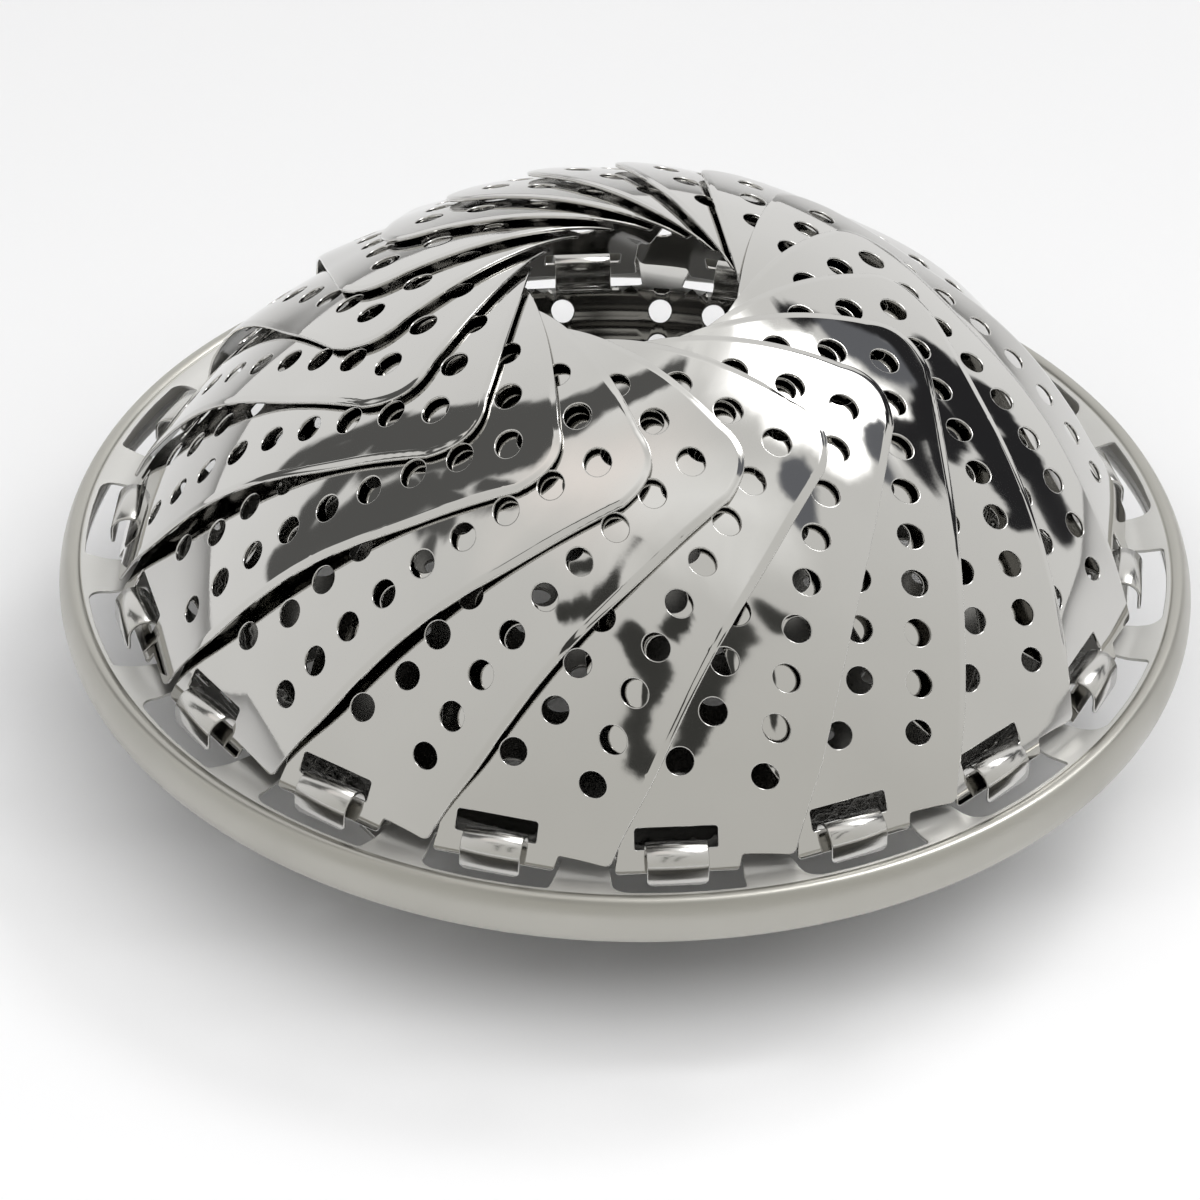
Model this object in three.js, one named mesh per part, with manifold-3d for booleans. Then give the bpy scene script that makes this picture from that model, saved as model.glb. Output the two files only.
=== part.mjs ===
// Folding vegetable steamer: a perforated dish on three folding legs, ringed by eighteen hinged petals.
// Millimetres, +Z up. The origin is on the table, under the centre of the dish. The petals are closed.
import * as THREE from 'three';
import { mergeVertices } from 'three/addons/utils/BufferGeometryUtils.js';
import Module from 'manifold-3d';

// Driving dimensions of the whole steamer
const rimRadius = 82;
const flangeHeight = 34;
const sheet = 0.5;
const petalCount = 18;
const legCount = 3;

// Clearances and overruns
const seatGap = 0.3;
const runningGap = 0.45;
const cutOverrun = 2;
const weldDistance = 0.0005;

// Dish: floor and wall, in from the flange's inner edge and down from its top
const floorInset = 15.8;
const floorDepth = 12;
const wallLowInset = 7.3;
const wallLowDepth = 9;
const wallHighInset = 2.6;
const wallHighDepth = 3.6;
const wallLipDepth = 0.7;

// Rolled rim, measured in from its outside and down from the flange's top
const rimWidth = 3;
const rimCrestInset = 1.75;
const rimCrestRise = 1.2;
const rimShoulderInset = 0.3;
const rimShoulderDrop = 0.2;
const rimBellyDrop = 2.4;
const rimFootInset = 0.5;
const rimFootDrop = 4.6;
const rimCurlInset = 1.9;
const rimCurlDrop = 5.3;
const rimCurlEndInset = 2.6;
const rimCurlEndDrop = 4.2;

// Perforation shared by the dish and the petals
const holeRadius = 1.9;
const holeSides = 6;
const wallHoleRiseShare = 0.66;
const wallHoleTurnShare = 0.25;
const floorHoleRadiusShares = [0.885, 0.423];
const floorHoleCounts = [18, 12];

// Hinge: a bar at the foot of each petal turns in a hook bent up from the edge of a slot in the flange
const hingeRise = 1.3;
const barHeight = 3.4;
const windowHeight = 3;
const windowWidth = 11.4;
const hookWidth = 8.5;
const hookTailDrop = 1;
const hookBendRadius = 0.9;
const hookBendSteps = 1;
const hookSteps = 4;
const slotEndGap = 0.5;
const slotToWall = 1.2;
const slotToRim = 0.8;
const slotRoom = 3.55;
const flangeLift = 0.9;

// Petal: a blank that runs along the sheet from the hinge to the mouth, with its reach measured
// sideways from the hook's middle and its setbacks measured down from the tip
const mouthRadius = 14.8;
const footWidth = 17.2;
const stepAlong = 0.5;
const cornerAlong = 2.8;
const cornerLap = 0.4;
const cornerSetback = 1.4;
const shoulderSetback = 10.4;
const shoulderReach = 32.6;
const shoulderBulgeShares = { along: 0.5, out: 0.06 };
const tipCornerSetback = 2.6;
const tipCornerReach = 26;
const tipLeftReach = 4;
const taperSetback = 14.4;
const taperReach = 9.5;
const waistAlongShare = 0.42;
const waistReach = 11.4;
const hipAlong = 9;
const hipReach = 8.4;

// Petal forming: the closed petals follow one dome, and each climbs over its right neighbour
const footSlope = THREE.MathUtils.degToRad(65.5);
const rollRadius = 83;
const petalLift = 1.25;
const liftStart = 2;
const liftFull = 16;
const rightCrownShare = 0.78;
const leftCrownShare = 1.7;
const hugShares = { start: 0.34, full: 0.7 };
const curveSteps = 4;
const flatTolerance = 1e-6;

// Inner points of the petal's surface, as shares of its length and of its shoulder's reach
const innerShares = [
  [0.3, -0.15],
  [0.45, -0.1],
  [0.6, -0.15],
  [0.6, 0.1],
  [0.74, 0.64],
  [0.76, 0.38],
  [0.77, 0.1],
  [0.79, -0.15],
  [0.86, 0.72],
  [0.88, 0.46],
  [0.89, 0.2],
];

// Petal holes: one over the hook, and staggered columns that run beside the right edge
const keyHoleAlong = 13.7;
const keyHoleReach = 0.8;
const columnCount = 3;
const columnAlong = 11.8;
const columnInset = 6.8;
const columnSpacing = 8.9;
const columnStagger = 8.6;
const holeStep = 13.7;
const holeSetback = 9.6;

// Legs, with their brackets, pins and rivets
const legInset = 12;
const legSheet = 0.8;
const legWidth = 9;
const legPinRadius = 1;
const legEyeMouth = THREE.MathUtils.degToRad(-108);
const legEyeSteps = 9;
const footPad = 5.2;
const earDrop = 1.9;
const bracketInner = 4;
const bracketOuter = 11;
const rivetOffset = 7.2;
const rivetRadius = 1.2;
const rivetHeadRadius = 2.2;
const rivetHeadHeight = 0.9;
const pinHeadRadius = 1.7;
const pinHeadHeight = 0.7;
const smallSides = 8;

// Threaded bush in the middle of the dish and its nut
const bushBore = 2.4;
const bushRadius = 3.6;
const bushHeadRadius = 6;
const bushHeadHeight = 1.4;
const bushLength = 6;
const bushSides = 12;
const nutRadius = 6;
const nutHeight = 2.6;
const nutSides = 6;

// The first petal is at the front, towards -Y, and the first leg at the back
const frontAngle = -Math.PI / 2;

// Places worked out from the sizes above
const petalPitch = (2 * Math.PI) / petalCount;
const flangeOuterRadius = rimRadius - rimWidth;
const slotOuterRadius = flangeOuterRadius - slotToRim;
const hookOuterRadius = slotOuterRadius - slotRoom;
const hookRadius = barHeight / 2 + runningGap + sheet / 2;
const hingeRadius = hookOuterRadius - sheet / 2 - hookRadius;
const hingeHeight = flangeHeight + hingeRise;
const hookRootRadius = hingeRadius - hookRadius - hookBendRadius;
const slotWidth = footWidth + 2 * slotEndGap;
const slotInnerRadius = hookRootRadius + seatGap;
const flangeInnerRadius = slotInnerRadius - slotToWall;
const wallHighRadius = flangeInnerRadius - wallHighInset;
const wallLowRadius = flangeInnerRadius - wallLowInset;
const floorRadius = flangeInnerRadius - floorInset;
const legRadius = floorRadius - legInset;
const footSine = Math.sin(footSlope);
const petalLength = rollRadius * (footSlope - Math.asin(footSine - (hingeRadius - mouthRadius) / rollRadius));
const cornerReach = hingeRadius * petalPitch - footWidth / 2 + cornerLap;
const shoulderAlong = petalLength - shoulderSetback;
const tipCornerAlong = petalLength - tipCornerSetback;
const waistAlong = petalLength * waistAlongShare;
const floorTop = flangeHeight - floorDepth;
const floorUnder = floorTop - sheet;
const bracketTop = floorUnder - seatGap;
const bracketUnder = bracketTop - legSheet;
const pinHoleRadius = legPinRadius + seatGap;
const legEyeRadius = pinHoleRadius + legSheet / 2;
const legEyeOuter = pinHoleRadius + legSheet;
const pinHeight = bracketUnder - legEyeOuter - runningGap;
const rivetHoleRadius = rivetRadius + seatGap;
const bushHoleRadius = bushRadius + seatGap;

const wasm = await Module();
wasm.setup();

// A closed geometry as a solid that can be joined and cut
function solidOf(geometry) {
  const bare = geometry.clone();
  bare.deleteAttribute('normal');
  bare.deleteAttribute('uv');
  const merged = mergeVertices(bare, weldDistance);
  return new wasm.Manifold(
    new wasm.Mesh({
      numProp: 3,
      vertProperties: merged.attributes.position.array,
      triVerts: new Uint32Array(merged.index.array),
    }),
  );
}

function geometryOf(solid) {
  const mesh = solid.getMesh();
  const geometry = new THREE.BufferGeometry();
  geometry.setAttribute('position', new THREE.BufferAttribute(mesh.vertProperties, 3));
  geometry.setIndex(new THREE.BufferAttribute(mesh.triVerts, 1));
  geometry.computeVertexNormals();
  return geometry;
}

// The closed outline of a strip of sheet along an open line, with mitred bends
function stripOutline(line, thickness) {
  const near = [];
  const far = [];
  line.forEach((point, i) => {
    const into = line[Math.max(i, 1)].clone().sub(line[Math.max(i, 1) - 1]).normalize();
    const last = Math.min(i, line.length - 2);
    const out = line[last + 1].clone().sub(line[last]).normalize();
    const along = into.clone().add(out).normalize();
    const side = new THREE.Vector2(-along.y, along.x);
    side.multiplyScalar(thickness / 2 / along.dot(into));
    near.push(point.clone().add(side));
    far.unshift(point.clone().sub(side));
  });
  return near.concat(far);
}

// A revolved solid about the vertical axis, from a closed outline of radius and height
function revolve(outline, segments) {
  const loop = THREE.ShapeUtils.isClockWise(outline) ? outline.slice().reverse() : outline.slice();
  loop.push(loop[0].clone());
  const geometry = new THREE.LatheGeometry(loop, segments);
  return geometry.rotateX(Math.PI / 2);
}

// A strip or plate drawn in radius and height, and as wide as given across the radius
function acrossRadius(outline, width) {
  const geometry = new THREE.ExtrudeGeometry(new THREE.Shape(outline), { depth: width, bevelEnabled: false });
  return geometry.translate(0, 0, -width / 2).rotateX(Math.PI / 2);
}

// A bar with even sides along the vertical axis
function roundBar(radius, length, sides) {
  const geometry = new THREE.CylinderGeometry(radius, radius, length, sides);
  return geometry.rotateX(Math.PI / 2);
}

function arcLine(centreX, centreY, radius, from, to, steps) {
  const line = [];
  for (let i = 0; i <= steps; i += 1) {
    const angle = from + ((to - from) * i) / steps;
    line.push(new THREE.Vector2(centreX + radius * Math.cos(angle), centreY + radius * Math.sin(angle)));
  }
  return line;
}

// The middle of the formed petal's sheet, this far along it from the hinge and sideways from the hook.
// It lies on the dome that all the petals share, and rises towards the right to clear the next petal.
// The foot is flat between its corners, so that the hinge's bar is straight, and above it the right side
// is flatter than the dome and the left side more curved, so that the petals also pass when they open.
function domePoint(along, reach) {
  const x = hingeRadius - rollRadius * (footSine - Math.sin(footSlope - along / rollRadius));
  const ramp = THREE.MathUtils.smoothstep(along, liftStart, liftFull);
  const flat = ((1 - ramp) * footWidth) / 2;
  const hug = THREE.MathUtils.smoothstep(along / petalLength, hugShares.start, hugShares.full);
  const crownShare = reach > 0 ? THREE.MathUtils.lerp(rightCrownShare, 1, hug) : leftCrownShare;
  const bent = Math.sign(reach) * Math.max(Math.abs(reach) - flat, 0) * crownShare;
  const radius = Math.hypot(x, bent);
  const slope = Math.asin(footSine - (hingeRadius - radius) / rollRadius);
  const height = hingeHeight + rollRadius * (Math.cos(slope) - Math.cos(footSlope));
  const lift = (ramp * petalLift * Math.atan2(reach, x)) / petalPitch;
  const out = (lift * Math.sin(slope)) / radius;
  return new THREE.Vector3(x + out * x, reach + out * bent, height + lift * Math.cos(slope));
}

// A point of the formed petal, offset from the middle of its sheet
function formedPoint(along, reach, offset) {
  const probe = sheet / 2;
  const up = domePoint(along + probe, reach).sub(domePoint(along - probe, reach));
  const across = domePoint(along, reach + probe).sub(domePoint(along, reach - probe));
  return domePoint(along, reach).addScaledVector(across.cross(up).normalize(), offset);
}

// How far the chord of the petal's right edge reaches, this far along
function edgeReach(along) {
  return THREE.MathUtils.mapLinear(along, cornerAlong, shoulderAlong, cornerReach, shoulderReach);
}

// The flat petal: foot, right corner, shoulder, tip and left side
function petalBlank() {
  const foot = -barHeight / 2;
  const bulgeAlong = petalLength * shoulderBulgeShares.along;
  const bulgeReach = edgeReach(bulgeAlong) + (shoulderReach - cornerReach) * shoulderBulgeShares.out;
  const blank = new THREE.Shape();
  blank.moveTo(foot, -footWidth / 2);
  blank.lineTo(foot, footWidth / 2);
  blank.lineTo(stepAlong, footWidth / 2 + stepAlong);
  blank.lineTo(stepAlong, cornerReach - cornerSetback);
  blank.lineTo(cornerAlong, cornerReach);
  blank.quadraticCurveTo(bulgeAlong, bulgeReach, shoulderAlong, shoulderReach);
  blank.quadraticCurveTo(tipCornerAlong, shoulderReach, tipCornerAlong, tipCornerReach);
  blank.quadraticCurveTo(petalLength, tipCornerReach / 2, petalLength, 0);
  blank.lineTo(petalLength, -tipLeftReach);
  blank.quadraticCurveTo(petalLength - taperSetback, -taperReach, waistAlong, -waistReach);
  blank.quadraticCurveTo((waistAlong + hipAlong) / 2, -waistReach, hipAlong, -hipReach);
  blank.lineTo(barHeight / 2, stepAlong - footWidth / 2);
  const hookWindow = new THREE.Path();
  hookWindow.moveTo(barHeight / 2, -windowWidth / 2);
  hookWindow.lineTo(barHeight / 2 + windowHeight, -windowWidth / 2);
  hookWindow.lineTo(barHeight / 2 + windowHeight, windowWidth / 2);
  hookWindow.lineTo(barHeight / 2, windowWidth / 2);
  blank.holes.push(hookWindow);
  const punch = (along, reach) => {
    const circle = arcLine(along, reach, holeRadius, 0, 2 * Math.PI, holeSides);
    blank.holes.push(new THREE.Path(circle.slice(1)));
  };
  punch(keyHoleAlong, keyHoleReach);
  for (let i = 0; i < columnCount; i += 1) {
    const inset = columnInset + i * columnSpacing;
    for (let along = columnAlong + i * columnStagger; along < petalLength - holeSetback; along += holeStep) {
      punch(along, edgeReach(along) - inset);
    }
  }
  return blank;
}

// Triangles over a flat blank and a few inner points, flipped until each is as even as it can be.
// An inner point only rounds the surface, so one that falls in a hole isn't used.
function coverBlank(outline, holes, innerPoints) {
  const points = outline.concat(...holes);
  const faces = THREE.ShapeUtils.triangulateShape(outline, holes);
  const turn = (a, b, c) =>
    (points[b].x - points[a].x) * (points[c].y - points[a].y) -
    (points[b].y - points[a].y) * (points[c].x - points[a].x);
  innerPoints.forEach((point) => {
    const p = points.push(point) - 1;
    const at = faces.findIndex(([a, b, c]) => turn(a, b, p) > 0 && turn(b, c, p) > 0 && turn(c, a, p) > 0);
    if (at < 0) {
      points.pop();
      return;
    }
    const [a, b, c] = faces[at];
    faces.splice(at, 1, [a, b, p], [b, c, p], [c, a, p]);
  });
  // The cosine sum of the two corners that face a shared edge is negative where the edge should flip
  const corner = (p, a, b) => {
    const toA = points[a].clone().sub(points[p]);
    const toB = points[b].clone().sub(points[p]);
    return Math.acos(THREE.MathUtils.clamp(toA.dot(toB) / (toA.length() * toB.length()), -1, 1));
  };
  for (let flipped = true; flipped; ) {
    flipped = false;
    const edges = new Map();
    faces.forEach((face, f) => face.forEach((a, i) => edges.set(`${a} ${face[(i + 1) % 3]}`, f)));
    for (const [key, f] of edges) {
      const [a, b] = key.split(' ').map(Number);
      const g = edges.get(`${b} ${a}`);
      if (g === undefined) continue;
      const p = faces[f].find((v) => v !== a && v !== b);
      const q = faces[g].find((v) => v !== a && v !== b);
      const tooWide = corner(p, a, b) + corner(q, a, b) > Math.PI + flatTolerance;
      if (tooWide && turn(p, a, q) > 0 && turn(q, b, p) > 0) {
        faces[f] = [p, a, q];
        faces[g] = [q, b, p];
        flipped = true;
        break;
      }
    }
  }
  return { points, faces };
}

// The formed petal in the frame of its hinge: x out from the steamer's axis, y to the petal's right
function petalGeometry() {
  const { shape: outline, holes } = petalBlank().extractPoints(curveSteps);
  if (THREE.ShapeUtils.isClockWise(outline)) outline.reverse();
  holes.forEach((hole) => {
    if (!THREE.ShapeUtils.isClockWise(hole)) hole.reverse();
  });
  const innerPoints = innerShares.map(
    ([alongShare, reachShare]) => new THREE.Vector2(petalLength * alongShare, shoulderReach * reachShare),
  );
  const { points, faces } = coverBlank(outline, holes, innerPoints);
  const positions = [];
  for (const offset of [sheet / 2, -sheet / 2]) {
    points.forEach((p) => positions.push(...formedPoint(p.x, p.y, offset).toArray()));
  }
  const under = points.length;
  const index = [];
  const edges = new Set();
  faces.forEach((face) => face.forEach((a, i) => edges.add(`${a} ${face[(i + 1) % 3]}`)));
  faces.forEach(([a, b, c]) => index.push(a, c, b, a + under, b + under, c + under));
  edges.forEach((key) => {
    const [a, b] = key.split(' ').map(Number);
    if (!edges.has(`${b} ${a}`)) index.push(a, b, b + under, a, b + under, a + under);
  });
  const geometry = new THREE.BufferGeometry();
  geometry.setAttribute('position', new THREE.Float32BufferAttribute(positions, 3));
  geometry.setIndex(index);
  geometry.computeVertexNormals();
  return geometry;
}

// A hook in the frame of its petal's hinge
function hookGeometry() {
  const rootZ = flangeHeight - sheet / 2;
  const line = [new THREE.Vector2(hookRootRadius - sheet, rootZ)];
  line.push(...arcLine(hookRootRadius, rootZ + hookBendRadius, hookBendRadius, -Math.PI / 2, 0, hookBendSteps));
  line.push(...arcLine(hingeRadius, hingeHeight, hookRadius, Math.PI, 0, hookSteps));
  line.push(new THREE.Vector2(hingeRadius + hookRadius, flangeHeight - hookTailDrop));
  return acrossRadius(stripOutline(line, sheet), hookWidth);
}

function slotCutter() {
  const depth = slotOuterRadius - slotInnerRadius;
  const cutter = new THREE.BoxGeometry(depth, slotWidth, 2 * cutOverrun);
  return cutter.translate(slotInnerRadius + depth / 2, 0, flangeHeight);
}

// The middle line of the dish's sheet, from the bush's hole to the end of the rim's curl
function dishLine() {
  const half = sheet / 2;
  const at = (radius, drop) => new THREE.Vector2(radius, flangeHeight - half - drop);
  const line = [at(bushHoleRadius, floorDepth)];
  line.push(at(floorRadius, floorDepth));
  line.push(at(wallLowRadius, wallLowDepth));
  line.push(at(wallHighRadius, wallHighDepth));
  line.push(at(flangeInnerRadius, wallLipDepth));
  line.push(at(flangeInnerRadius + wallLipDepth, 0));
  line.push(at(hookOuterRadius, 0));
  line.push(at(flangeOuterRadius, -flangeLift));
  line.push(at(rimRadius - half - rimCrestInset, -rimCrestRise));
  line.push(at(rimRadius - half - rimShoulderInset, rimShoulderDrop));
  line.push(at(rimRadius - half, rimBellyDrop));
  line.push(at(rimRadius - half - rimFootInset, rimFootDrop));
  line.push(at(rimRadius - half - rimCurlInset, rimCurlDrop));
  line.push(at(rimRadius - half - rimCurlEndInset, rimCurlEndDrop));
  return line;
}

function dishGeometry() {
  let dish = solidOf(revolve(stripOutline(dishLine(), sheet), 2 * petalCount));
  const drill = (radius, height, angle, size, lean) => {
    const bit = roundBar(size, 2 * cutOverrun, holeSides);
    bit.rotateY(-lean).translate(radius, 0, height).rotateZ(angle);
    dish = dish.subtract(solidOf(bit));
  };
  floorHoleCounts.forEach((count, row) => {
    for (let i = 0; i < count; i += 1) {
      const angle = (i * 2 * Math.PI) / count;
      drill(floorRadius * floorHoleRadiusShares[row], floorTop, angle, holeRadius, 0);
    }
  });
  const wallSlope = Math.atan2(wallLowDepth - wallHighDepth, wallHighRadius - wallLowRadius);
  const wallHoleRadius = THREE.MathUtils.lerp(wallLowRadius, wallHighRadius, wallHoleRiseShare);
  const wallHoleDepth = THREE.MathUtils.lerp(wallLowDepth, wallHighDepth, wallHoleRiseShare);
  for (let i = 0; i < petalCount; i += 1) {
    const angle = (i + wallHoleTurnShare) * petalPitch;
    drill(wallHoleRadius, flangeHeight - wallHoleDepth, angle, holeRadius, wallSlope);
  }
  for (let i = 0; i < legCount; i += 1) {
    drill(legRadius + rivetOffset, floorTop, legAngle(i), rivetHoleRadius, 0);
  }
  for (let i = 0; i < petalCount; i += 1) {
    dish = dish.subtract(solidOf(slotCutter().rotateZ(petalAngle(i))));
    dish = dish.add(solidOf(hookGeometry().rotateZ(petalAngle(i))));
  }
  return geometryOf(dish);
}

function petalAngle(i) {
  return frontAngle + i * petalPitch;
}

function legAngle(i) {
  return -frontAngle + (i * 2 * Math.PI) / legCount;
}

// A leg in the frame of its pin: an eye rolled round the pin, a shank and a flat foot
function legGeometry() {
  const soleHeight = legSheet / 2 - pinHeight;
  const line = arcLine(0, 0, legEyeRadius, legEyeMouth, Math.PI, legEyeSteps);
  line.push(new THREE.Vector2(-legEyeRadius, soleHeight + legSheet));
  line.push(new THREE.Vector2(-legEyeRadius + legSheet, soleHeight));
  line.push(new THREE.Vector2(-legEyeRadius + footPad, soleHeight));
  return acrossRadius(stripOutline(line, legSheet), legWidth);
}

// A bracket in the frame of its pin: a plate under the dish with two ears down its sides
function bracketGeometry() {
  const inner = legWidth / 2 + runningGap;
  const outer = inner + legSheet;
  const top = bracketTop - pinHeight;
  const under = bracketUnder - pinHeight;
  const ears = new THREE.Shape();
  ears.moveTo(-outer, top);
  ears.lineTo(-outer, -earDrop);
  ears.lineTo(-inner, -earDrop);
  ears.lineTo(-inner, under);
  ears.lineTo(inner, under);
  ears.lineTo(inner, -earDrop);
  ears.lineTo(outer, -earDrop);
  ears.lineTo(outer, top);
  const channel = new THREE.ExtrudeGeometry(ears, { depth: bracketInner + legEyeOuter, bevelEnabled: false });
  // The shape's first axis becomes the steamer's tangent and its second the height
  channel.rotateX(Math.PI / 2).rotateZ(Math.PI / 2).translate(-bracketInner, 0, 0);
  const tab = new THREE.BoxGeometry(bracketOuter + bracketInner, 2 * inner, legSheet);
  tab.translate((bracketOuter - bracketInner) / 2, 0, (top + under) / 2);
  const pinHole = roundBar(pinHoleRadius, 2 * outer + cutOverrun, smallSides).rotateX(Math.PI / 2);
  const rivetHole = roundBar(rivetHoleRadius, cutOverrun, smallSides).translate(rivetOffset, 0, top);
  const bracket = solidOf(channel).add(solidOf(tab)).subtract(solidOf(pinHole)).subtract(solidOf(rivetHole));
  return geometryOf(bracket);
}

// A headed pin along the tangent, in its own frame
function pinGeometry() {
  const shank = legWidth / 2 + runningGap + legSheet + seatGap;
  const end = shank + pinHeadHeight;
  const outline = [
    new THREE.Vector2(0, -end),
    new THREE.Vector2(pinHeadRadius, -end),
    new THREE.Vector2(pinHeadRadius, -shank),
    new THREE.Vector2(legPinRadius, -shank),
    new THREE.Vector2(legPinRadius, shank),
    new THREE.Vector2(pinHeadRadius, shank),
    new THREE.Vector2(pinHeadRadius, end),
    new THREE.Vector2(0, end),
  ];
  return new THREE.LatheGeometry(outline, smallSides);
}

// A rivet through the dish's floor and the bracket's tab, about its own axis, at the steamer's heights
function rivetGeometry() {
  const upper = floorTop + seatGap;
  const lower = bracketUnder - seatGap;
  const outline = [
    new THREE.Vector2(0, lower - rivetHeadHeight),
    new THREE.Vector2(rivetRadius, lower - rivetHeadHeight),
    new THREE.Vector2(rivetHeadRadius, lower),
    new THREE.Vector2(rivetRadius, lower),
    new THREE.Vector2(rivetRadius, upper),
    new THREE.Vector2(rivetHeadRadius, upper),
    new THREE.Vector2(rivetRadius, upper + rivetHeadHeight),
    new THREE.Vector2(0, upper + rivetHeadHeight),
  ];
  return new THREE.LatheGeometry(outline, smallSides).rotateX(Math.PI / 2);
}

function bushGeometry() {
  const seat = floorTop + seatGap;
  const outline = [
    new THREE.Vector2(bushBore, seat + bushHeadHeight),
    new THREE.Vector2(bushBore, seat - bushLength),
    new THREE.Vector2(bushRadius, seat - bushLength),
    new THREE.Vector2(bushRadius, seat),
    new THREE.Vector2(bushHeadRadius, seat),
    new THREE.Vector2(bushRadius, seat + bushHeadHeight),
  ];
  return revolve(outline, bushSides);
}

function nutGeometry() {
  const seat = floorUnder - seatGap;
  const nut = new THREE.Shape(arcLine(0, 0, nutRadius, 0, 2 * Math.PI, nutSides).slice(1));
  nut.holes.push(new THREE.Path(arcLine(0, 0, bushHoleRadius, 2 * Math.PI, 0, bushSides).slice(1)));
  const geometry = new THREE.ExtrudeGeometry(nut, { depth: nutHeight, bevelEnabled: false });
  return geometry.translate(0, 0, seat - nutHeight);
}

const steamer = new THREE.Group();

// A mesh with a material of its own, added to the given group
function addPiece(parent, name, geometry, look) {
  const mesh = new THREE.Mesh(geometry, new THREE.MeshStandardMaterial({ metalness: 1, ...look }));
  mesh.name = name;
  parent.add(mesh);
  return mesh;
}

const satin = { color: 0xb4b3ae, roughness: 0.38 };
const polished = { color: 0xc9c8c4, roughness: 0.14 };
const turned = { color: 0xa6a5a1, roughness: 0.3 };

addPiece(steamer, 'dish', dishGeometry(), satin);
addPiece(steamer, 'centre_bush', bushGeometry(), turned);
addPiece(steamer, 'bush_nut', nutGeometry(), turned);

const petal = petalGeometry();
for (let i = 0; i < petalCount; i += 1) {
  const name = `petal_${String(i + 1).padStart(2, '0')}`;
  addPiece(steamer, name, petal, polished).rotation.z = petalAngle(i);
}

for (let i = 0; i < legCount; i += 1) {
  const corner = new THREE.Group();
  corner.rotation.z = legAngle(i);
  steamer.add(corner);
  addPiece(corner, `leg_${i + 1}`, legGeometry(), satin).position.set(legRadius, 0, pinHeight);
  addPiece(corner, `leg_bracket_${i + 1}`, bracketGeometry(), satin).position.set(legRadius, 0, pinHeight);
  addPiece(corner, `leg_pin_${i + 1}`, pinGeometry(), turned).position.set(legRadius, 0, pinHeight);
  addPiece(corner, `leg_rivet_${i + 1}`, rivetGeometry(), turned).position.x = legRadius + rivetOffset;
}

export default steamer;
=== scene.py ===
import math

import bpy
from mathutils import Matrix, Vector, kdtree
from mathutils.geometry import delaunay_2d_cdt


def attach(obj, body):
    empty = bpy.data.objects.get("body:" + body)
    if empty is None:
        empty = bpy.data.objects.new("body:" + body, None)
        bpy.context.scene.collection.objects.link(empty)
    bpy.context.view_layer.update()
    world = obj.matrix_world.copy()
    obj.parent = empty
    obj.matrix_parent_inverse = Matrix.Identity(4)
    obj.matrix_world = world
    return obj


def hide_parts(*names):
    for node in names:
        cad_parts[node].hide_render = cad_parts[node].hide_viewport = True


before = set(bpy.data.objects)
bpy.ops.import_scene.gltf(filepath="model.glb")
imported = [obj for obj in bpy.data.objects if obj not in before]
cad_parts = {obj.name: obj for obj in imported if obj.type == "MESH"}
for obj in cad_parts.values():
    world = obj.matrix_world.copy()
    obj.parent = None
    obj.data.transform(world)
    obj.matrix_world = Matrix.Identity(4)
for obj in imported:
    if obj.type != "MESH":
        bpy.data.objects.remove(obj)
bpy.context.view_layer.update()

MM = 0.001

# Sizes in millimetres, as in the solids
FLANGE_HEIGHT = 34.0
SHEET = 0.5
PETALS = 18
LEGS = 3
HINGE_RADIUS = 72.0
HINGE_HEIGHT = 35.3
BAR_HEIGHT = 3.4
WINDOW_HEIGHT = 3.0
WINDOW_WIDTH = 11.4
HOOK_WIDTH = 8.5
HOOK_RADIUS = 2.4
HOOK_BEND = 0.9
SLOT_WIDTH = 18.2
SLOT_INNER = 69.0
SLOT_OUTER = 78.2
PITCH = 2 * math.pi / PETALS
FRONT = -math.pi / 2

MOUTH_RADIUS = 14.8
ROLL_RADIUS = 83.0
FOOT_SLOPE = math.radians(65.5)
FOOT_SINE = math.sin(FOOT_SLOPE)
FOOT_WIDTH = 17.2
STEP_ALONG = 0.5
CORNER_ALONG = 2.8
CORNER_REACH = HINGE_RADIUS * PITCH - FOOT_WIDTH / 2 + 0.4
PETAL_LENGTH = ROLL_RADIUS * (FOOT_SLOPE - math.asin(FOOT_SINE - (HINGE_RADIUS - MOUTH_RADIUS) / ROLL_RADIUS))
SHOULDER_ALONG = PETAL_LENGTH - 10.4
SHOULDER_REACH = 32.6
TIP_CORNER_ALONG = PETAL_LENGTH - 2.6
TIP_CORNER_REACH = 26.0
BULGE_SHARE = 0.06
WAIST_REACH = -11.4
WAIST_SHARE = 0.42
SPREAD_AT_FOOT = 0.78
HIDDEN_SPREAD = 1.7
LIFT_PER_PETAL = 1.25
CROWN_SINK = 0.09

HOLE_RADIUS = 1.9
HOLE_PITCH = 6.85
HOLE_SETBACK = 6.0
HOOK_HOLE = (0.8, 13.7)
COLUMNS = 3
COLUMN_START = 11.8
COLUMN_STAGGER = 8.6
COLUMN_INSET = 6.8
COLUMN_SPACING = 8.9
COLUMN_LEAN = 0.03
EDGE_DROP = 0.14
EDGE_BAND = 1.1
PETAL_GRID = 2.0

BUSH_HOLE = 3.9
FLOOR_ROWS = ((46.0, 36), (38.2, 30), (30.2, 24), (22.0, 18), (14.0, 12))
WALL_ROWS = (66.4, 62.85)
WALL_PAIR = (0.645, 1.0)
WALL_HOLE = 1.75
WALL_SQUEEZE = 0.66
LEG_CLEAR_ANGLE = 0.09
LEG_CLEAR_RADIUS = 30.5
RIPPLE_DEPTH = 0.13
RIPPLE_PITCH = 1.95
BEAD_START = 78.8
CURL_END = 79.6
CURL_DEPTH = 2.2
WALL_END = 67.6
LEDGE_START = 68.4

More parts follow.
